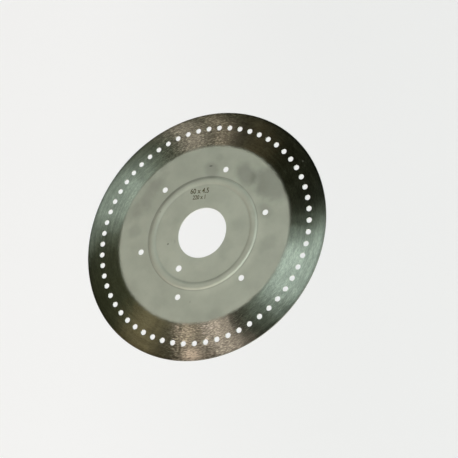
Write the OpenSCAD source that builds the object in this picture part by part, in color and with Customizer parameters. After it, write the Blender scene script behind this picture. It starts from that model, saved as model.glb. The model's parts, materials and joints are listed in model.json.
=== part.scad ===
// Vacuum planter seed plate: a flat stainless disc with a circle of seed holes near its rim,
// a pressed stiffening bead round the hub, agitator holes outside the bead and a locating hole inside it.
// The plate lies flat with its ground face up. The origin is on the axis, in the plane of the underside.
// The locating hole lies on +X.

/* [Sheet] */
// Outside diameter of the plate
plate_d = 220; // [180:1:280]
// Thickness of the steel sheet
sheet_t = 1.0; // [0.6:0.1:2]
// Edge break at the rim and at both ends of every hole
edge_break = 0.15; // [0.05:0.05:0.25]

/* [Hub bore] */
// Diameter of the bore that seats on the metering hub
bore_d = 44.5; // [25:0.5:60]

/* [Seed holes] */
// Number of seed holes round the plate
seed_count = 60; // [12:1:90]
// Diameter of a seed hole
seed_d = 4.5; // [1:0.1:6]
// Distance from the rim in to the centres of the seed holes
seed_rim_gap = 14.25; // [8:0.25:20]
// Angle of the first seed hole from the locating hole
seed_angle = 3.2; // [0:0.1:30]

/* [Stiffening bead] */
// Radius of the bead's inner foot
bead_in_r = 43; // [34:0.5:55]
// Width of the inner flank, from its foot to the crest
bead_in_w = 3.7; // [3:0.1:6]
// Width of the flat crest
bead_top_w = 1.4; // [0.5:0.1:3]
// Width of the outer flank, from the crest to its foot
bead_out_w = 2.6; // [2.2:0.1:5]
// Height of the crest above the ground face
bead_h = 0.65; // [0.3:0.05:1]
// Bend radius at the inner foot
bead_in_bend_r = 3.5; // [1:0.5:6]
// Bend radius at the outer foot
bead_out_bend_r = 2; // [1:0.25:3]

/* [Agitator holes] */
// Number of holes that hold the agitator
agitator_count = 6; // [3:1:12]
// Diameter of an agitator hole
agitator_d = 5; // [3:0.5:8]
// Distance from the bead's outer foot out to the centres of the agitator holes
agitator_bead_gap = 7.3; // [5:0.1:10]
// Angle of the first agitator hole from the locating hole
agitator_angle = 14.6; // [0:0.1:60]

/* [Locating hole] */
// Diameter of the single hole that takes the hub's locating pin
locating_d = 5.5; // [3:0.5:8]
// Distance from the bead's inner foot in to the centre of the locating hole
locating_bead_gap = 7.35; // [5:0.05:10]

/* [Hidden] */
$fn = 180;

// Overrun of a cutter past the face that it cuts
cut_past = 1;

rim_r = plate_d / 2;
bore_r = bore_d / 2;
seed_circle_r = rim_r - seed_rim_gap;
bead_out_r = bead_in_r + bead_in_w + bead_top_w + bead_out_w;
agitator_circle_r = bead_out_r + agitator_bead_gap;
locating_circle_r = bead_in_r - locating_bead_gap;

// Lap of each arc over what it meets, so that they cross and don't only touch
arc_lap = 0.0005;
// Depth that a bead section runs back past its flat
bead_root = sheet_t / 2;

// Each flank of the bead is two arcs, at the foot and at the crest, that meet with a common tangent.
// The sheet turns through flank_turn at each, so the width and height fix the sum of the two radii.
function flank_turn(w) = 2 * atan(bead_h / w);
function crest_bend_r(w, foot_bend_r) = w / sin(flank_turn(w)) - foot_bend_r;

// Section of one flank that rises along +x from its foot at x = 0, with the radius as x and the height as y.
// Every depth below the ground face has the same arc centres, so the sheet keeps its thickness round each bend.
module flank_section(w, foot_bend_r, depth) {
    crest_r = crest_bend_r(w, foot_bend_r);
    crest_centre_z = sheet_t + bead_h - crest_r;
    meet_z = crest_centre_z + (crest_r - depth) * cos(flank_turn(w));
    root_z = sheet_t - depth - bead_root;
    intersection() {
        translate([w, crest_centre_z]) circle(r = crest_r - depth + arc_lap);
        translate([0, root_z]) square([w + bead_top_w / 2, bead_root + bead_h + cut_past]);
    }
    difference() {
        translate([0, root_z]) square([w, meet_z - root_z]);
        translate([0, sheet_t + foot_bend_r]) circle(r = foot_bend_r + depth + arc_lap);
    }
}

// Section of the bead below its face at a depth: two flanks and the crest between them, cut off flat on top.
module bead_section(depth) {
    root_z = sheet_t - depth - bead_root;
    rise = bead_root + bead_h;
    intersection() {
        translate([bead_in_r, root_z]) square([bead_out_r - bead_in_r, rise]);
        union() {
            translate([bead_in_r, 0]) flank_section(bead_in_w, bead_in_bend_r, depth);
            translate([bead_out_r, 0]) mirror([1, 0]) flank_section(bead_out_w, bead_out_bend_r, depth);
            translate([bead_in_r + bead_in_w, root_z]) square([bead_top_w, rise + cut_past]);
        }
    }
}

// Section of the flat sheet from the bore to the rim, with its corners broken.
module flat_section() {
    polygon([
        [bore_r, edge_break],
        [bore_r + edge_break, 0],
        [rim_r - edge_break, 0],
        [rim_r, edge_break],
        [rim_r, sheet_t - edge_break],
        [rim_r - edge_break, sheet_t],
        [bore_r + edge_break, sheet_t],
        [bore_r, sheet_t - edge_break]
    ]);
}

// Section of the pressed sheet: the bead stands out of the ground face and hollows the underside.
module sheet_section() {
    difference() {
        union() {
            flat_section();
            bead_section(0);
        }
        bead_section(sheet_t);
    }
}

// Cutter for one hole through the flat sheet, with its edges broken on both faces.
module hole_cutter(d) {
    r = d / 2;
    flare = edge_break + cut_past;
    translate([0, 0, -cut_past]) cylinder(h = sheet_t + 2 * cut_past, r = r);
    translate([0, 0, -cut_past]) cylinder(h = flare, r1 = r + flare, r2 = r);
    translate([0, 0, sheet_t - edge_break]) cylinder(h = flare, r1 = r, r2 = r + flare);
}

// A ring of evenly spaced hole cutters.
module hole_circle(count, d, circle_r, first_angle) {
    for (i = [0 : count - 1])
        rotate(first_angle + i * 360 / count) translate([circle_r, 0, 0]) hole_cutter(d);
}

module seed_plate() {
    color([0.60, 0.60, 0.54]) difference() {
        rotate_extrude() sheet_section();
        hole_circle(seed_count, seed_d, seed_circle_r, seed_angle);
        hole_circle(agitator_count, agitator_d, agitator_circle_r, agitator_angle);
        hole_circle(1, locating_d, locating_circle_r, 0);
    }
}

seed_plate();
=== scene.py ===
"""Planter seed plate: a pressed steel disc with a ground ring, lying on a pale floor."""
import json
import math

import bpy
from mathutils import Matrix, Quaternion, Vector


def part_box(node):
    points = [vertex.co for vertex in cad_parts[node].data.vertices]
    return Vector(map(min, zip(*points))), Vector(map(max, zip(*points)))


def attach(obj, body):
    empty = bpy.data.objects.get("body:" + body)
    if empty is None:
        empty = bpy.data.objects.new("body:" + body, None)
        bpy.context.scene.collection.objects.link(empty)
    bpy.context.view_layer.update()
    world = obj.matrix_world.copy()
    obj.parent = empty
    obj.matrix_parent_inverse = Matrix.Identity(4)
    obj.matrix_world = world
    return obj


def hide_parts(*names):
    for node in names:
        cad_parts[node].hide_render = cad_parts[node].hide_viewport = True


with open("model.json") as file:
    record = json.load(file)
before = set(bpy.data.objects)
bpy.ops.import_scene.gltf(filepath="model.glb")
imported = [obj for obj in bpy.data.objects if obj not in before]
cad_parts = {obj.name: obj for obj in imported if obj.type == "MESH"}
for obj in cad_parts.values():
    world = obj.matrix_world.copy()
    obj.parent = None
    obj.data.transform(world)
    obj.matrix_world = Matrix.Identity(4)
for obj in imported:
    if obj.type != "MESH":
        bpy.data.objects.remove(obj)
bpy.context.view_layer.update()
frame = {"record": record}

MM = 0.001
NODE = "seed_plate"

# Sizes that the frame gives
mounts = {mount["name"]: mount for mount in frame["record"]["mounts"]}
box_low, box_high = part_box(NODE)
SHEET_T = mounts["seal_face"]["pos_m"][2]
RIM_R = min(-box_low.x, -box_low.y, box_high.x, box_high.y)
BORE_R = mounts["hub_bore"]["dims"]["r_mm"] * MM
AGITATOR_R = mounts["agitator_holes"]["dims"]["hole_r_mm"] * MM
AGITATOR_CIRCLE_R = mounts["agitator_holes"]["dims"]["pcd_mm"] * MM / 2
AGITATOR_COUNT = mounts["agitator_holes"]["dims"]["count"]
LOCATING_R = mounts["locating_hole"]["dims"]["r_mm"] * MM
LOCATING_CIRCLE_R = mounts["locating_hole"]["pos_m"][0]
BEAD_H = box_high.z - SHEET_T

# Sizes of the holes and the bead that the frame doesn't give
SEED_COUNT = 60
SEED_R = 2.25 * MM
SEED_CIRCLE_R = 95.75 * MM
SEED_ANGLE = math.radians(3.2)
AGITATOR_ANGLE = math.radians(14.6)
BEAD_IN_R = 43 * MM
BEAD_IN_W = 3.7 * MM
BEAD_TOP_W = 1.4 * MM
BEAD_OUT_W = 2.6 * MM
BEAD_IN_BEND_R = 3.5 * MM
BEAD_OUT_BEND_R = 2.0 * MM
BEAD_OUT_R = BEAD_IN_R + BEAD_IN_W + BEAD_TOP_W + BEAD_OUT_W

# Edges: their rounding, and the dubbing that the grinder leaves on the face at the rim.
# The rim's own rounding starts at an angle, in degrees, where it meets the dubbed face.
EDGE_ROUND = 0.15 * MM
RIM_DUB_W = 3.5 * MM
RIM_DUB_DROP = 0.16 * MM
RIM_ROUND_START = 85

# A hole's rounding stops at this angle, in degrees, and its cutter leaves the face there on a straight flare
HOLE_ROUND_END = 110
FLARE_RISE = 0.1 * SHEET_T
CUT_PAST = SHEET_T

# Steps of the turned shapes, of a bend, of a rounded edge and of the dubbing
TURN_STEPS = 360
HOLE_STEPS = 32
BEND_STEPS = 5
EDGE_STEPS = 3
RIM_DUB_STEPS = 5

MERGE_GAP = MM / 1000
SMOOTH_ANGLE = math.radians(50)


def deselect_all():
    bpy.ops.object.select_all(action="DESELECT")


def arc(centre, radius, start, end, steps):
    """Points of an arc from one angle to another, in degrees, as (radius, height) pairs."""
    points = []
    for i in range(steps + 1):
        angle = math.radians(start + (end - start) * i / steps)
        points.append((centre[0] + radius * math.cos(angle), centre[1] + radius * math.sin(angle)))
    return points


def bead_flank(foot_x, side, width, foot_bend_r, depth):
    """Outline of one flank of the bead from its foot to its crest, at a depth below the top face.
    side is 1 where the flank rises away from the axis and -1 where it rises towards it."""
    turn = 2 * math.atan2(BEAD_H, width)
    crest_bend_r = width / math.sin(turn) - foot_bend_r
    turn_deg = math.degrees(turn)
    foot_centre = (0, SHEET_T + foot_bend_r)
    crest_centre = (width, SHEET_T + BEAD_H - crest_bend_r)
    foot = arc(foot_centre, foot_bend_r + depth, -90, -90 + turn_deg, BEND_STEPS)
    crest = arc(crest_centre, crest_bend_r - depth, 90 + turn_deg, 90, BEND_STEPS)
    return [(foot_x + side * x, z) for x, z in foot + crest[1:]]


def bead_outline(depth):
    """Outline of the bead from its inner foot to its outer foot, at a depth below the top face."""
    inner = bead_flank(BEAD_IN_R, 1, BEAD_IN_W, BEAD_IN_BEND_R, depth)
    outer = bead_flank(BEAD_OUT_R, -1, BEAD_OUT_W, BEAD_OUT_BEND_R, depth)
    return inner + outer[::-1]


def plate_outline():
    """Closed outline of the sheet's section: along the top to the rim, and back along the underside."""
    bore_x = BORE_R + EDGE_ROUND
    rim_x = RIM_R - EDGE_ROUND
    bore_top = arc((bore_x, SHEET_T - EDGE_ROUND), EDGE_ROUND, 180, 90, EDGE_STEPS)
    rim_dub = []
    for i in range(RIM_DUB_STEPS + 1):
        share = i / RIM_DUB_STEPS * (1 - EDGE_ROUND / RIM_DUB_W)
        rim_dub.append((RIM_R - RIM_DUB_W * (1 - share), SHEET_T - RIM_DUB_DROP * share ** 2))
    rim_top_z = rim_dub[-1][1]
    rim_top = arc((rim_x, rim_top_z - EDGE_ROUND), EDGE_ROUND, RIM_ROUND_START, 0, EDGE_STEPS)
    rim_under = arc((rim_x, EDGE_ROUND), EDGE_ROUND, 0, -90, EDGE_STEPS)
    bore_under = arc((bore_x, EDGE_ROUND), EDGE_ROUND, -90, -180, EDGE_STEPS)
    top = bore_top + bead_outline(0) + rim_dub + rim_top[1:]
    under = rim_under + bead_outline(SHEET_T)[::-1] + bore_under
    return top + under + bore_top[:1]


def lathe(name, outline, steps):
    """Revolves an outline: draws its first ring, then extrudes it from ring to ring."""
    deselect_all()
    first_r, first_z = outline[0]
    bpy.ops.mesh.primitive_circle_add(vertices=steps, radius=first_r, location=(0, 0, 0))
    made = bpy.context.object
    made.name = name
    bpy.ops.object.mode_set(mode="EDIT")
    bpy.ops.mesh.select_all(action="SELECT")
    bpy.ops.transform.translate(value=(0, 0, first_z))
    for (r, z), (next_r, next_z) in zip(outline, outline[1:]):
        bpy.ops.mesh.extrude_edges_move(TRANSFORM_OT_translate={"value": (0, 0, next_z - z)})
        bpy.ops.transform.resize(value=(next_r / r, next_r / r, 1), center_override=(0, 0, 0))
    bpy.ops.mesh.select_all(action="SELECT")
    bpy.ops.mesh.remove_doubles(threshold=MERGE_GAP)
    bpy.ops.mesh.fill_holes(sides=0)
    bpy.ops.mesh.normals_make_consistent(inside=False)
    bpy.ops.object.mode_set(mode="OBJECT")
    return made


def hole_outline(r):
    """Outline of a hole's cutter, with the hole's edges rounded on both faces."""
    corner = arc((r + EDGE_ROUND, SHEET_T - EDGE_ROUND), EDGE_ROUND, 180, HOLE_ROUND_END, EDGE_STEPS)
    last_r, last_z = corner[-1]
    flare_r = last_r + FLARE_RISE / math.tan(math.radians(HOLE_ROUND_END - 90))
    upper = corner + [(flare_r, last_z + FLARE_RISE), (flare_r, SHEET_T + CUT_PAST)]
    lower = [(x, SHEET_T - z) for x, z in upper[::-1]]
    return lower + upper


def cutters(name, r, circle_r, count, first_angle):
    """A ring of hole cutters, each a copy with its own mesh."""
    master = lathe(name, hole_outline(r), HOLE_STEPS)
    made = []
    for i in range(count):
        copy = master.copy()
        copy.data = master.data.copy()
        bpy.context.collection.objects.link(copy)
        angle = first_angle + i * 2 * math.pi / count
        copy.location = (circle_r * math.cos(angle), circle_r * math.sin(angle), 0)
        copy.rotation_euler.z = angle
        made.append(copy)
    bpy.data.objects.remove(master)
    return made


def make_active(piece):
    deselect_all()
    piece.select_set(True)
    bpy.context.view_layer.objects.active = piece


def joined(pieces):
    make_active(pieces[0])
    for piece in pieces:
        piece.select_set(True)
    bpy.ops.object.join()
    bpy.ops.object.transform_apply(location=True, rotation=True, scale=True)
    return bpy.context.object


def apply_modifier(piece, kind, **settings):
    make_active(piece)
    modifier = piece.modifiers.new(kind.title(), kind)
    for key, value in settings.items():
        setattr(modifier, key, value)
    bpy.ops.object.modifier_apply(modifier=modifier.name)


def seed_plate():
    """The pressed disc with all its holes."""
    plate = lathe("plate", plate_outline(), TURN_STEPS)
    holes = joined(
        cutters("seed_cutter", SEED_R, SEED_CIRCLE_R, SEED_COUNT, SEED_ANGLE)
        + cutters("agitator_cutter", AGITATOR_R, AGITATOR_CIRCLE_R, AGITATOR_COUNT, AGITATOR_ANGLE)
        + cutters("locating_cutter", LOCATING_R, LOCATING_CIRCLE_R, 1, 0))
    apply_modifier(plate, "BOOLEAN", object=holes, operation="DIFFERENCE", solver="EXACT")
    bpy.data.objects.remove(holes)
    make_active(plate)
    bpy.ops.object.shade_smooth_by_angle(angle=SMOOTH_ANGLE)
    apply_modifier(plate, "WEIGHTED_NORMAL", mode="FACE_AREA", keep_sharp=True)
    return plate


# Marking: plain numbers for the seed holes' count and size and the plate's diameter and thickness, in mm.
# Each line has its text, its place in mm, the size of its letters and how narrow they are.
MARK_TURN = math.radians(120.3)
MARK_DEPTH = 0.012 * MM
MARK_BOLD = 0.13 * MM
MARK_LINES = [
    ("60 x 4.5", (-27.7, -23.9), 6.4 * MM, 0.85),
    ("220 x 1", (-23.2, -20.9), 5.3 * MM, 0.78),
]


def marking():
    """Two lines of numbers on the hub, their tops towards the bead."""
    lines = []
    for text, (x, y), size, narrow in MARK_LINES:
        deselect_all()
        bpy.ops.object.text_add(location=(0, 0, 0))
        line = bpy.context.object
        line.data.body = text
        line.data.size = size
        line.data.align_x = "CENTER"
        line.data.extrude = MARK_DEPTH
        line.data.offset = MARK_BOLD
        bpy.ops.object.convert(target="MESH")
        line = bpy.context.object
        line.scale.x = narrow
        line.rotation_euler.z = MARK_TURN
        line.location = (x * MM, y * MM, SHEET_T)
        bpy.ops.object.transform_apply(location=True, rotation=True, scale=True)
        lines.append(line)
    marks = joined(lines)
    marks.name = "marking"
    bpy.ops.object.mode_set(mode="EDIT")
    bpy.ops.mesh.select_all(action="SELECT")
    bpy.ops.mesh.remove_doubles(threshold=MERGE_GAP)
    bpy.ops.mesh.normals_make_consistent(inside=False)
    bpy.ops.object.mode_set(mode="OBJECT")
    return marks


# Shader helpers

# Noise keeps mostly between these two values
NOISE_LOW = 0.3
NOISE_HIGH = 0.7


def node(tree, kind, inputs=None, **settings):
    """Adds a node, sets its properties, and fills or links its inputs by name or number."""
    made = tree.nodes.new(kind)
    for key, value in settings.items():
        setattr(made, key, value)
    for key, value in (inputs or {}).items():
        if isinstance(value, bpy.types.NodeSocket):
            tree.links.new(value, made.inputs[key])
        else:
            made.inputs[key].default_value = value
    return made


def maths(tree, operation, a, b=0.0, clamp=False):
    return node(tree, "ShaderNodeMath", {0: a, 1: b}, operation=operation, use_clamp=clamp).outputs[0]


def vector_maths(tree, operation, a, b=(0, 0, 0)):
    return node(tree, "ShaderNodeVectorMath", {0: a, 1: b}, operation=operation).outputs[0]


def dot(tree, a, b):
    return node(tree, "ShaderNodeVectorMath", {0: a, 1: b}, operation="DOT_PRODUCT").outputs["Value"]


def length(tree, vector):
    return node(tree, "ShaderNodeVectorMath", {0: vector}, operation="LENGTH").outputs["Value"]


def scaled(tree, vector, scale):
    return node(tree, "ShaderNodeVectorMath", {0: vector, "Scale": scale}, operation="SCALE").outputs[0]


def turned(tree, vector, angle):
    """A vector turned about the upright axis."""
    inputs = {"Vector": vector, "Angle": angle}
    return node(tree, "ShaderNodeVectorRotate", inputs, rotation_type="Z_AXIS").outputs[0]


def ramp(tree, value, low, high, to_low=0.0, to_high=1.0, ends="SMOOTHSTEP"):
    """A value carried from low..high to to_low..to_high, with soft ends unless ends says LINEAR."""
    inputs = {"Value": value, "From Min": low, "From Max": high, "To Min": to_low, "To Max": to_high}
    return node(tree, "ShaderNodeMapRange", inputs, interpolation_type=ends).outputs["Result"]


def noise(tree, vector, scale, detail=2.0, roughness=0.5):
    inputs = {"Vector": vector, "Scale": scale, "Detail": detail, "Roughness": roughness}
    return node(tree, "ShaderNodeTexNoise", inputs).outputs["Fac"]


def spread(tree, noise_value, to_low=0.0, to_high=1.0):
    """A noise value carried from its usual range to to_low..to_high."""
    return ramp(tree, noise_value, NOISE_LOW, NOISE_HIGH, to_low, to_high)


def mix_value(tree, factor, a, b):
    return node(tree, "ShaderNodeMix", {0: factor, 2: a, 3: b}, data_type="FLOAT").outputs[0]


def mix_colour(tree, factor, a, b, blend="MIX"):
    return node(tree, "ShaderNodeMix", {0: factor, 6: a, 7: b}, data_type="RGBA", blend_type=blend).outputs[2]


def times(tree, colour, value):
    return mix_colour(tree, 1.0, colour, value, "MULTIPLY")


def bump(tree, height, distance):
    return node(tree, "ShaderNodeBump", {"Height": height, "Distance": distance}).outputs[0]


def object_place(tree):
    return node(tree, "ShaderNodeTexCoord").outputs["Object"]


def link_all(tree, shader, links):
    for name, socket in links.items():
        tree.links.new(socket, shader.inputs[name])


def show_mix(tree, factor, first, second):
    """Shows a mix of two shaders on the surface."""
    mixed = node(tree, "ShaderNodeMixShader", {0: factor, 1: first.outputs[0], 2: second.outputs[0]})
    tree.links.new(mixed.outputs[0], tree.nodes["Material Output"].inputs["Surface"])


def new_group(name, inputs, outputs):
    """An empty node group with its sockets, and its input and output nodes."""
    tree = bpy.data.node_groups.new(name, "ShaderNodeTree")
    for socket_name, kind, default in inputs:
        socket = tree.interface.new_socket(socket_name, in_out="INPUT", socket_type=kind)
        socket.default_value = default
    for socket_name, kind in outputs:
        tree.interface.new_socket(socket_name, in_out="OUTPUT", socket_type=kind)
    return tree, tree.nodes.new("NodeGroupInput").outputs, tree.nodes.new("NodeGroupOutput").inputs


def use(tree, group, inputs):
    return node(tree, "ShaderNodeGroup", inputs, node_tree=group).outputs


def new_material(name):
    material = bpy.data.materials.new(name)
    material.use_nodes = True
    tree = material.node_tree
    return material, tree, tree.nodes["Principled BSDF"]


# Effects that several finishes share

# How fine the ragged edge of a patch is
RAG_SCALE = 90.0


def turning_group():
    """Coordinates that follow circles about the axis: noise on them makes marks along the circles."""
    tree, given, gives = new_group("turning_marks", [
        ("Across", "NodeSocketFloat", 1000.0),
        ("Along", "NodeSocketFloat", 10.0),
    ], [("Vector", "NodeSocketVector")])
    flat = vector_maths(tree, "MULTIPLY", object_place(tree), (1, 1, 0))
    along = scaled(tree, vector_maths(tree, "NORMALIZE", flat), given["Along"])
    across = maths(tree, "MULTIPLY", length(tree, flat), given["Across"])
    lifted = node(tree, "ShaderNodeCombineXYZ", {"Z": across}).outputs[0]
    tree.links.new(vector_maths(tree, "ADD", along, lifted), gives["Vector"])
    return tree


def spot_group():
    """A soft oval patch lying flat at a place, with a ragged edge."""
    tree, given, gives = new_group("soft_spot", [
        ("Place", "NodeSocketVector", (0, 0, 0)),
        ("Turn", "NodeSocketFloat", 0.0),
        ("Half Size", "NodeSocketVector", (0.01, 0.01, 1.0)),
        ("Softness", "NodeSocketFloat", 0.5),
        ("Ragged", "NodeSocketFloat", 0.3),
    ], [("Mask", "NodeSocketFloat")])
    place = object_place(tree)
    moved = vector_maths(tree, "SUBTRACT", place, given["Place"])
    straight = turned(tree, moved, maths(tree, "MULTIPLY", given["Turn"], -1.0))
    reach = length(tree, vector_maths(tree, "DIVIDE", straight, given["Half Size"]))
    rag = maths(tree, "SUBTRACT", noise(tree, place, RAG_SCALE, detail=4.0), 0.5)
    edge = maths(tree, "ADD", reach, maths(tree, "MULTIPLY", rag, given["Ragged"]))
    start = maths(tree, "SUBTRACT", 1.0, given["Softness"])
    solid = maths(tree, "SUBTRACT", 1.0, ramp(tree, edge, start, 1.0))
    tree.links.new(solid, gives["Mask"])
    return tree


def grain_group():
    """Grain of worked steel: a fine value for its surface, and a broad one for its tone."""
    tree, given, gives = new_group("steel_grain", [
        ("Fine", "NodeSocketFloat", 2500.0),
        ("Broad", "NodeSocketFloat", 40.0),
    ], [("Grain", "NodeSocketFloat"), ("Cloud", "NodeSocketFloat")])
    place = object_place(tree)
    tree.links.new(noise(tree, place, given["Fine"]), gives["Grain"])
    tree.links.new(noise(tree, place, given["Broad"], detail=4.0, roughness=0.6), gives["Cloud"])
    return tree


TURNING = turning_group()
SPOT = spot_group()
GRAIN = grain_group()


def circle_noise(tree, across, along, detail):
    """Noise drawn out along the circles. across and along say how fine it is each way."""
    marks = use(tree, TURNING, {"Across": across, "Along": along})
    return noise(tree, marks["Vector"], 1.0, detail)


# Patches on the plate's face: place in mm, half size in mm, turn in degrees, softness, ragged edge, strength.
# Stains and specks darken the dull sheet.
STAINS = {
    "oval": ((-60.5, 5), (16, 11.5), 55, 0.65, 0.4, 0.26),
    "broad": ((-64, 31), (25, 18), 70, 0.55, 0.6, 0.27),
    "by_hole": ((-43, 38), (12, 13), 30, 0.9, 0.6, 0.20),
    "top": ((-20, 60), (15, 9), 165, 0.7, 0.7, 0.11),
    "low": ((-5, -68), (34, 13), 0, 0.8, 0.8, 0.17),
    "low_round": ((28, -59), (10, 8), 10, 0.6, 0.5, 0.14),
    "left_round": ((-63, -27), (6, 5), 0, 0.7, 0.6, 0.08),
    "wedge": ((-49.5, -26.5), (11, 8.5), 65, 0.6, 0.3, 0.16),
    "right": ((67, 1), (15, 9), 95, 0.8, 0.8, 0.05),
    "far_right": ((52, 54), (12, 8), 130, 0.8, 0.8, 0.07),
    "hub_left": ((-20, 24), (14, 11), 45, 0.9, 0.8, 0.10),
    "hub_top": ((4, 29), (16, 8), 0, 0.9, 0.8, 0.10),
    "hub_low": ((4, -28), (11, 6), 10, 0.9, 0.8, 0.07),
}
SPECKS = {
    "hub": ((22.9, -22.5), (1.1, 0.9), 0, 0.6, 0.3, 0.55),
    "wedge": ((-52.7, -29.4), (2.0, 0.8), 120, 0.6, 0.3, 0.4),
    "outer": ((53.9, 27.4), (1.5, 0.8), 30, 0.7, 0.3, 0.2),
    "crest": ((3, -47), (1.2, 0.8), 0, 0.7, 0.3, 0.25),
    "by_bore": ((18, -18), (2.5, 1.0), 40, 0.8, 0.4, 0.12),
}
# Nicks in the ground ring show dull metal
NICKS = {
    "near_rim": ((-92.8, 45.1), (1.6, 0.6), 64, 0.8, 0.3, 0.6),
    "by_hole": ((56.1, 79.4), (0.7, 0.7), 0, 0.8, 0.2, 0.6),
}
# Painted highlights: here the ground ring's colour is made brighter where a warm lamp's highlight falls
PAINTED_HIGHLIGHTS = {
    "near_rim": ((88.0, 56.2), (15, 6.5), 122, 0.8, 0.3, 1.0),
    "by_rim": ((80.0, 70.0), (7, 3), 131, 0.9, 0.3, 0.3),
}


def patch_sum(tree, patches):
    """Sum of the patches' masks, each times its strength."""
    total = None
    for place, half, turn, softness, ragged, strength in patches.values():
        mask = use(tree, SPOT, {
            "Place": (place[0] * MM, place[1] * MM, SHEET_T), "Turn": math.radians(turn),
            "Half Size": (half[0] * MM, half[1] * MM, 1.0), "Softness": softness, "Ragged": ragged})["Mask"]
        part = maths(tree, "MULTIPLY", mask, strength)
        total = part if total is None else maths(tree, "ADD", total, part)
    return total


def flat_heading(degrees):
    """Way across the plate at an angle from the locating hole."""
    return (math.cos(math.radians(degrees)), math.sin(math.radians(degrees)), 0)


# Dull sheet: its darker and paler tone, roughness, metal share and grain height
DULL_STEEL = (0.432, 0.446, 0.392, 1), (0.500, 0.515, 0.455, 1)
DULL_ROUGH = 0.70, 0.76
DULL_METAL = 0.65
DULL_GRAIN_H = 0.004 * MM
STAIN_ROUGH = 0.2
HUB_LIGHT = 1.06

# Painted shade along the bead: radius of its middle, half width and darkening. Painted shade darkens both
# feet all round.
# Painted light makes the bead lighter on the side that faces one way, and painted shade makes it darker on
# the other.
FOOT_SHADE = [(BEAD_IN_R + 1 * MM, 2.2 * MM, 0.085), (BEAD_OUT_R, 0.9 * MM, 0.19)]
# Painted light on the bead's side that faces this way, and painted shade on the other side
LIT_SIDE = flat_heading(75)
LIT_BAND = BEAD_OUT_R + 0.8 * MM, 8 * MM, 0.16
SHADED_BAND = BEAD_OUT_R - 1.4 * MM, 3 * MM, 0.22

# Ground ring: its inner line, how soft that is and how far it wanders
GROUND_R = 79.3 * MM
GROUND_SOFT = 2.6 * MM
WANDER_W = 2.5 * MM
WANDER_SCALE = 250.0

# Steel of the ring: its darker and brighter colour where it is evenly ground and where it is scored, and the
# colour of its painted highlights. The ranges are the values of the scratches that show as scores and as
# painted highlights.
# Two opposite sides are scored, and their brightest scores are painted glints, placed where the warm lamps'
# highlights fall.
EVEN_STEEL = (0.455, 0.482, 0.416, 1), (0.635, 0.668, 0.579, 1)
SCORED_GLINT_STEEL = (0.36, 0.378, 0.326, 1), (0.95, 1.0, 0.86, 1)
HIGHLIGHT_STEEL = (1.0, 1.0, 0.9, 1)
SCORE_GLINT_RANGE = 0.42, 0.70
HIGHLIGHT_RANGE = 0.32, 0.54
SCORED_GLINT_SIDE = flat_heading(40)
SCORED_GLINT_FROM = 0.88
SCORED_GLINT_FULL = 0.97
RING_METAL = 1.0
RING_ROUGH = 0.325, 0.35

# Marks along the ring's circles: how fine they are across and along, and the noise's detail
SCRATCH_MARKS = 2200.0, 36.0, 1.0
BAND_MARKS = 380.0, 5.0, 2.0
WAVE_MARKS = 45.0, 9.0, 2.0

# Shares by which waves and bands darken and brighten the ring.
# RING_LIGHT is its brightness at its inner and outer edge, and RIM_LIGHT is painted shade that dims the
# ring's colour over the dubbed rim.
WAVE_SHADE = 0.06
BAND_SHADE = 0.12
RING_LIGHT = 1.14, 0.85
RIM_LIGHT = 0.6

# Slopes of the ground face, the height of its waves, and the turn of the grind towards the rim, in radians
SCRATCH_TILT = 0.035
GRIND_TURN = -0.022
GRIND_LEAN = 0.055
WAVE_H = 0.25 * MM
SWIRL_FROM_R = 88 * MM
GRIND_SWIRL = 0.14


def ring_mask(tree, place, radius):
    """1 on the ground ring and 0 on the dull sheet, with a soft, slightly wandering line between them."""
    wander = maths(tree, "SUBTRACT", noise(tree, place, WANDER_SCALE, detail=4.0), 0.5)
    reach = maths(tree, "ADD", radius, maths(tree, "MULTIPLY", wander, WANDER_W))
    mask = ramp(tree, reach, GROUND_R - GROUND_SOFT, GROUND_R + GROUND_SOFT)
    return maths(tree, "SUBTRACT", mask, patch_sum(tree, NICKS), clamp=True)


def circle_shading(tree, radius, middle_r, half_w, dark):
    """A band of painted shade along a circle, strongest at its middle. Taken away with a minus sign, it is
    painted light.
    """
    away = maths(tree, "ABSOLUTE", maths(tree, "SUBTRACT", radius, middle_r))
    return ramp(tree, away, 0.0, half_w, dark, 0.0)


def dull_shade(tree, radius, outward):
    """Share of its light that the dull sheet loses to stains and specks and to painted shade along the bead,
    less the painted light on one side of the bead.
    """
    shade = maths(tree, "ADD", patch_sum(tree, STAINS), patch_sum(tree, SPECKS))
    # Painted shade in the creases at both feet of the bead
    for shading_band in FOOT_SHADE:
        shade = maths(tree, "ADD", shade, circle_shading(tree, radius, *shading_band))
    # Painted light on the side of the bead that faces one way, painted shade on the other
    facing = dot(tree, outward, LIT_SIDE)
    for side, shading_band in (("MAXIMUM", LIT_BAND), ("MINIMUM", SHADED_BAND)):
        change = maths(tree, "MULTIPLY", maths(tree, side, facing, 0.0), circle_shading(tree, radius, *shading_band))
        shade = maths(tree, "SUBTRACT", shade, change)
    return shade


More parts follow.
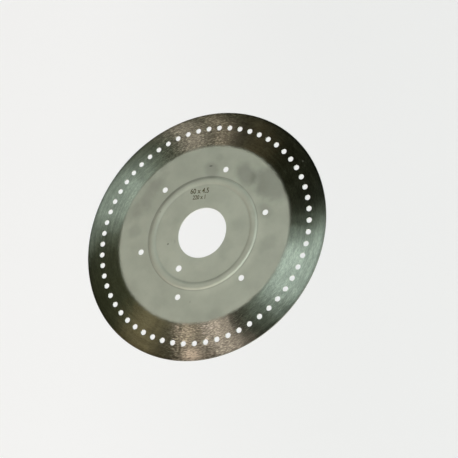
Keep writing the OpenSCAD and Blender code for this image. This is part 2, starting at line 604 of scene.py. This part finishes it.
def dull_sheet(tree, shader, radius, outward, is_ground, ring_rough):
    """Rolled sheet inside the ground ring, a little lighter on the hub."""
    grain = use(tree, GRAIN, {"Fine": 2600.0, "Broad": 45.0})
    shade = dull_shade(tree, radius, outward)
    tone = mix_colour(tree, spread(tree, grain["Cloud"]), *DULL_STEEL)
    hub_light = ramp(tree, radius, BEAD_IN_R, BEAD_OUT_R, HUB_LIGHT, 1.0)
    light = maths(tree, "MULTIPLY", hub_light, maths(tree, "SUBTRACT", 1.0, shade))
    stain_rough = maths(tree, "MULTIPLY", shade, STAIN_ROUGH)
    rough = maths(tree, "ADD", spread(tree, grain["Cloud"], *DULL_ROUGH), stain_rough)
    # On the ring, this first shader of the mix takes the ring's roughness and metal share too. The
    # export keeps only the first shader of a mix, so on the ring this one has the ring's shine
    link_all(tree, shader, {
        "Base Color": times(tree, tone, light),
        "Roughness": mix_value(tree, is_ground, rough, ring_rough),
        "Metallic": ramp(tree, is_ground, 0.0, 1.0, DULL_METAL, RING_METAL),
        "Normal": bump(tree, grain["Grain"], DULL_GRAIN_H)})


def ring_steel(tree, radius, outward, scratches, waves):
    """Colour of the ground ring: streaked along its circles, most where scored, with painted glints there and
    painted highlights, and darker to the rim, with painted shade over the dubbed rim.
    """
    # Scored sides: real scoring, whose brightest scores are painted glints where the warm lamps' highlights
    # fall
    scored_glints = ramp(tree, maths(tree, "ABSOLUTE", dot(tree, outward, SCORED_GLINT_SIDE)), SCORED_GLINT_FROM, SCORED_GLINT_FULL)
    even_steel = mix_colour(tree, spread(tree, scratches), *EVEN_STEEL)
    scored_glint_steel = mix_colour(tree, ramp(tree, scratches, *SCORE_GLINT_RANGE), *SCORED_GLINT_STEEL)
    steel = mix_colour(tree, scored_glints, even_steel, scored_glint_steel)
    bands = circle_noise(tree, *BAND_MARKS)
    for marks, share in ((waves, WAVE_SHADE), (bands, BAND_SHADE)):
        steel = times(tree, steel, spread(tree, marks, 1 - share, 1 + share))
    fade = ramp(tree, radius, GROUND_R, RIM_R, *RING_LIGHT, ends="LINEAR")
    # Painted shade: the ring's colour is dimmed over the dubbed rim
    fade = maths(tree, "MULTIPLY", fade, ramp(tree, radius, RIM_R - RIM_DUB_W, RIM_R, 1.0, RIM_LIGHT))
    # Painted highlight: the ring's colour is brightened where a warm lamp's highlight falls
    painted_highlight = maths(tree, "MULTIPLY", patch_sum(tree, PAINTED_HIGHLIGHTS), ramp(tree, scratches, *HIGHLIGHT_RANGE))
    return mix_colour(tree, painted_highlight, times(tree, steel, fade), HIGHLIGHT_STEEL)


def ground_ring(tree, radius, outward, waves, ring_rough):
    """Ring ground bright along its circles. Its scratches face a little aside, and it has slow waves."""
    scratches = circle_noise(tree, *SCRATCH_MARKS)
    round_about = vector_maths(tree, "CROSS_PRODUCT", (0, 0, 1), outward)
    aside = spread(tree, scratches, GRIND_TURN - SCRATCH_TILT, GRIND_TURN + SCRATCH_TILT)
    normal = bump(tree, waves, WAVE_H)
    for heading, slope in ((round_about, aside), (outward, GRIND_LEAN)):
        normal = vector_maths(tree, "ADD", normal, scaled(tree, heading, slope))
    to_rim = ramp(tree, radius, SWIRL_FROM_R, RIM_R, ends="LINEAR")
    swirl = maths(tree, "MULTIPLY", maths(tree, "MULTIPLY", to_rim, to_rim), -GRIND_SWIRL)
    shader = node(tree, "ShaderNodeBsdfPrincipled")
    shader.inputs["Metallic"].default_value = RING_METAL
    shader.inputs["Anisotropic"].default_value = 1.0
    shader.inputs["Anisotropic Rotation"].default_value = 0.25
    link_all(tree, shader, {
        "Base Color": ring_steel(tree, radius, outward, scratches, waves),
        "Roughness": ring_rough,
        "Normal": vector_maths(tree, "NORMALIZE", normal),
        "Tangent": turned(tree, round_about, swirl)})
    return shader


def plate_face():
    """Top of the plate: dull rolled sheet within, and the ground ring outside it."""
    material, tree, dull = new_material("plate_face")
    place = object_place(tree)
    flat = vector_maths(tree, "MULTIPLY", place, (1, 1, 0))
    outward = vector_maths(tree, "NORMALIZE", flat)
    radius = length(tree, flat)
    is_ground = ring_mask(tree, place, radius)
    waves = circle_noise(tree, *WAVE_MARKS)
    ring_rough = spread(tree, waves, *RING_ROUGH)
    dull_sheet(tree, dull, radius, outward, is_ground, ring_rough)
    ground = ground_ring(tree, radius, outward, waves, ring_rough)
    show_mix(tree, is_ground, dull, ground)
    return material


# Underside: its darker and paler tone, and its rolling marks' colour, share and stretch.
# Then come its roughness, its metal share and the marks' height.
BACK_STEEL = (0.47, 0.495, 0.435, 1), (0.53, 0.555, 0.49, 1)
ROLLED_STEEL = (0.38, 0.40, 0.35, 1)
ROLLED_SHARE = 0.25
ROLLED_STRETCH = (900, 25, 1)
ROLLED_ROUGH = 0.64, 0.74
ROLLED_METAL = 0.55
ROLLED_H = 0.006 * MM

# Cut edges: darker and brighter steel, and least and most roughness
CUT_EDGES = {
    "punched_wall": ((0.66, 0.67, 0.62, 1), (0.78, 0.79, 0.74, 1), 0.35, 0.5),
    "rim_edge": ((0.20, 0.20, 0.16, 1), (0.30, 0.30, 0.25, 1), 0.45, 0.6),
}
SHEAR_MARKS = 40.0, 400.0, 2.0
SHEAR_H = 0.01 * MM

# Marking: burnt and worn colour, roughness, and the grain values between which it wears through
MARK_INK = (0.064, 0.056, 0.025, 1), (0.19, 0.18, 0.125, 1)
MARK_ROUGH = 0.7, 0.9
WORN_FROM = 0.5
WORN_FULL = 0.72

# A face this near the rim is its edge, and one whose normal rises less than this is a hole's wall
RIM_EDGE_W = 1.1 * EDGE_ROUND
WALL_RISE = 0.6


def plate_back():
    """Underside: dull rolled sheet with faint straight rolling marks."""
    material, tree, shader = new_material("plate_back")
    grain = use(tree, GRAIN, {"Fine": 2600.0, "Broad": 30.0})
    stretched = vector_maths(tree, "MULTIPLY", object_place(tree), ROLLED_STRETCH)
    rolling = noise(tree, stretched, 1.0, detail=3.0)
    tone = mix_colour(tree, spread(tree, grain["Cloud"]), *BACK_STEEL)
    shader.inputs["Metallic"].default_value = ROLLED_METAL
    link_all(tree, shader, {
        "Base Color": mix_colour(tree, spread(tree, rolling, 0.0, ROLLED_SHARE), tone, ROLLED_STEEL),
        "Roughness": spread(tree, rolling, *ROLLED_ROUGH),
        "Normal": bump(tree, rolling, ROLLED_H)})
    return material


def cut_edge(name):
    """Cut edge of the sheet, with upright shear marks."""
    dark, bright, rough_low, rough_high = CUT_EDGES[name]
    material, tree, shader = new_material(name)
    grain = use(tree, GRAIN, {"Fine": 3000.0, "Broad": 300.0})
    shear = circle_noise(tree, *SHEAR_MARKS)
    shader.inputs["Metallic"].default_value = 1.0
    link_all(tree, shader, {
        "Base Color": mix_colour(tree, spread(tree, shear), dark, bright),
        "Roughness": spread(tree, grain["Grain"], rough_low, rough_high),
        "Normal": bump(tree, shear, SHEAR_H)})
    return material


def marking_ink():
    """Burnt-in marking: dark brown, worn through in specks."""
    material, tree, shader = new_material("marking_ink")
    grain = use(tree, GRAIN, {"Fine": 1800.0, "Broad": 250.0})
    worn = ramp(tree, grain["Grain"], WORN_FROM, WORN_FULL)
    link_all(tree, shader, {
        "Base Color": mix_colour(tree, worn, *MARK_INK),
        "Roughness": spread(tree, grain["Cloud"], *MARK_ROUGH)})
    return material


def finish_plate(plate):
    """Gives each face of the plate its finish, by its place and the way it faces."""
    finishes = [plate_face(), plate_back(), cut_edge("punched_wall"), cut_edge("rim_edge")]
    face_slot, back_slot, wall_slot, rim_slot = range(len(finishes))
    plate.data.materials.clear()
    for finish in finishes:
        plate.data.materials.append(finish)
    for face in plate.data.polygons:
        radius = math.hypot(face.center.x, face.center.y)
        if radius > RIM_R - RIM_EDGE_W:
            face.material_index = rim_slot
        elif abs(face.normal.z) < WALL_RISE:
            face.material_index = wall_slot
        else:
            face.material_index = face_slot if face.normal.z > 0 else back_slot


# The camera has the photograph's viewing angle and frame
CAMERA_AIM = Vector((-13.97, 20.29, 0.5)) * MM
CAMERA_DISTANCE = 996.06 * MM
CAMERA_AZIMUTH = math.radians(81.772)
CAMERA_ELEVATION = math.radians(56.780)
CAMERA_ROLL = math.radians(-50.129)
CAMERA_LENS = 94.94
CAMERA_SENSOR = 36


def place_camera():
    data = bpy.data.cameras.new("camera")
    data.lens = CAMERA_LENS
    data.sensor_width = CAMERA_SENSOR
    camera = bpy.data.objects.new("camera", data)
    bpy.context.collection.objects.link(camera)
    flat = math.cos(CAMERA_ELEVATION)
    up = math.sin(CAMERA_ELEVATION)
    away = Vector((flat * math.cos(CAMERA_AZIMUTH), flat * math.sin(CAMERA_AZIMUTH), up))
    camera.location = CAMERA_AIM + away * CAMERA_DISTANCE
    level = (-away).to_track_quat("-Z", "Y")
    camera.rotation_mode = "QUATERNION"
    camera.rotation_quaternion = level @ Quaternion((0, 0, 1), CAMERA_ROLL)
    bpy.context.scene.camera = camera


# Lamps: heading in the floor's plane, distance, width, height, watts and colour
LAMPS = {
    "warm_lamp_low": ((0.732, -0.166), 4.0, 0.5, 0.8, 21.5, (1.0, 0.766, 0.623)),
    "warm_lamp_high": ((0.707, 0.197), 4.0, 1.1, 0.8, 52.5, (1.0, 0.799, 0.719)),
    "brown_wall": ((0.636, -0.543), 1.235, 0.36, 0.45, 0.63, (1.0, 0.745, 0.43)),
    "back_wall": ((0.09, -0.823), 0.667, 0.97, 0.45, 0.12, (0.975, 1.0, 0.543)),
    "back_glow": ((-0.22, -0.83), 0.6, 0.35, 0.45, 0.057, (0.95, 1.0, 0.9)),
}

# Window: layers of soft light from wide to narrow, each with its width, watts and blue, and a step aside
WINDOW_LAYERS = [(3.7, 18.5, 0.80), (2.9, 11.8, 0.97), (2.3, 14.9, 1.0), (1.9, 13.0, 1.0), (1.3, 9.0, 1.0)]
WINDOW_HEADING = (-0.09, 0.612)
WINDOW_STEP = 0.02
WINDOW_DISTANCE = 2.5
WINDOW_HEIGHT = 1.3
WINDOW_RED = 0.86

ROOM_DARK = (0.002, 0.002, 0.001, 1)


def soft_box(name, heading, distance, width, height, watts, colour):
    """A rectangular lamp that faces the plate's centre. heading is the way to it, in the floor's plane."""
    up = math.sqrt(1 - heading[0] ** 2 - heading[1] ** 2)
    towards = Vector((heading[0], heading[1], up))
    data = bpy.data.lights.new(name, "AREA")
    data.shape = "RECTANGLE"
    data.size = width
    data.size_y = height
    data.energy = watts
    data.color = colour
    lamp = bpy.data.objects.new(name, data)
    bpy.context.collection.objects.link(lamp)
    lamp.location = towards * distance
    lamp.rotation_euler = (-towards).to_track_quat("-Z", "Y").to_euler()


def light_scene():
    for i, (width, watts, blue) in enumerate(WINDOW_LAYERS):
        heading = (WINDOW_HEADING[0] - WINDOW_STEP * i, WINDOW_HEADING[1])
        colour = (WINDOW_RED, 1.0, blue)
        soft_box("window_%d" % i, heading, WINDOW_DISTANCE, width, WINDOW_HEIGHT, watts, colour)
    for name, settings in LAMPS.items():
        soft_box(name, *settings)
    world = bpy.data.worlds.new("room")
    world.use_nodes = True
    world.node_tree.nodes["Background"].inputs["Color"].default_value = ROOM_DARK
    bpy.context.scene.world = world


# Floor: its size, its gap below the plate, its own colour, and the whites that it shows across the view
FLOOR_SIZE = 6
FLOOR_GAP = 0.1 * MM
FLOOR_COLOUR = (0.78, 0.80, 0.80, 1)
FLOOR_ROUGH = 0.9
FLOOR_WHITES = (0.945, 0.932, 0.935, 1), (0.865, 0.857, 0.86, 1)
FLOOR_ACROSS = (-0.6, 0.8, 0)
FLOOR_HALF_VIEW = 0.15
FLOOR_WHITE_SHARE = 0.75


def lay_floor():
    """Pale floor. Seen straight or in the metal, it is mostly an even white."""
    deselect_all()
    bpy.ops.mesh.primitive_plane_add(size=FLOOR_SIZE, location=(0, 0, -FLOOR_GAP))
    floor = bpy.context.object
    floor.name = "floor"
    material, tree, shader = new_material("pale_floor")
    shader.inputs["Base Color"].default_value = FLOOR_COLOUR
    shader.inputs["Roughness"].default_value = FLOOR_ROUGH
    shader.inputs["Specular IOR Level"].default_value = 0.0
    across = dot(tree, object_place(tree), FLOOR_ACROSS)
    pale = mix_colour(tree, ramp(tree, across, -FLOOR_HALF_VIEW, FLOOR_HALF_VIEW), *FLOOR_WHITES)
    white = node(tree, "ShaderNodeEmission", {"Color": pale})
    path = node(tree, "ShaderNodeLightPath").outputs
    seen = maths(tree, "ADD", path["Is Camera Ray"], path["Is Glossy Ray"])
    seen = maths(tree, "ADD", seen, path["Is Transmission Ray"], clamp=True)
    show_mix(tree, maths(tree, "MULTIPLY", seen, FLOOR_WHITE_SHARE), shader, white)
    floor.data.materials.append(material)


place_camera()
light_scene()
lay_floor()

plate = seed_plate()
finish_plate(plate)
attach(plate, "root")
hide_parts(NODE)

marks = marking()
marks.data.materials.append(marking_ink())
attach(marks, "root")

bpy.context.scene.view_settings.view_transform = "Standard"
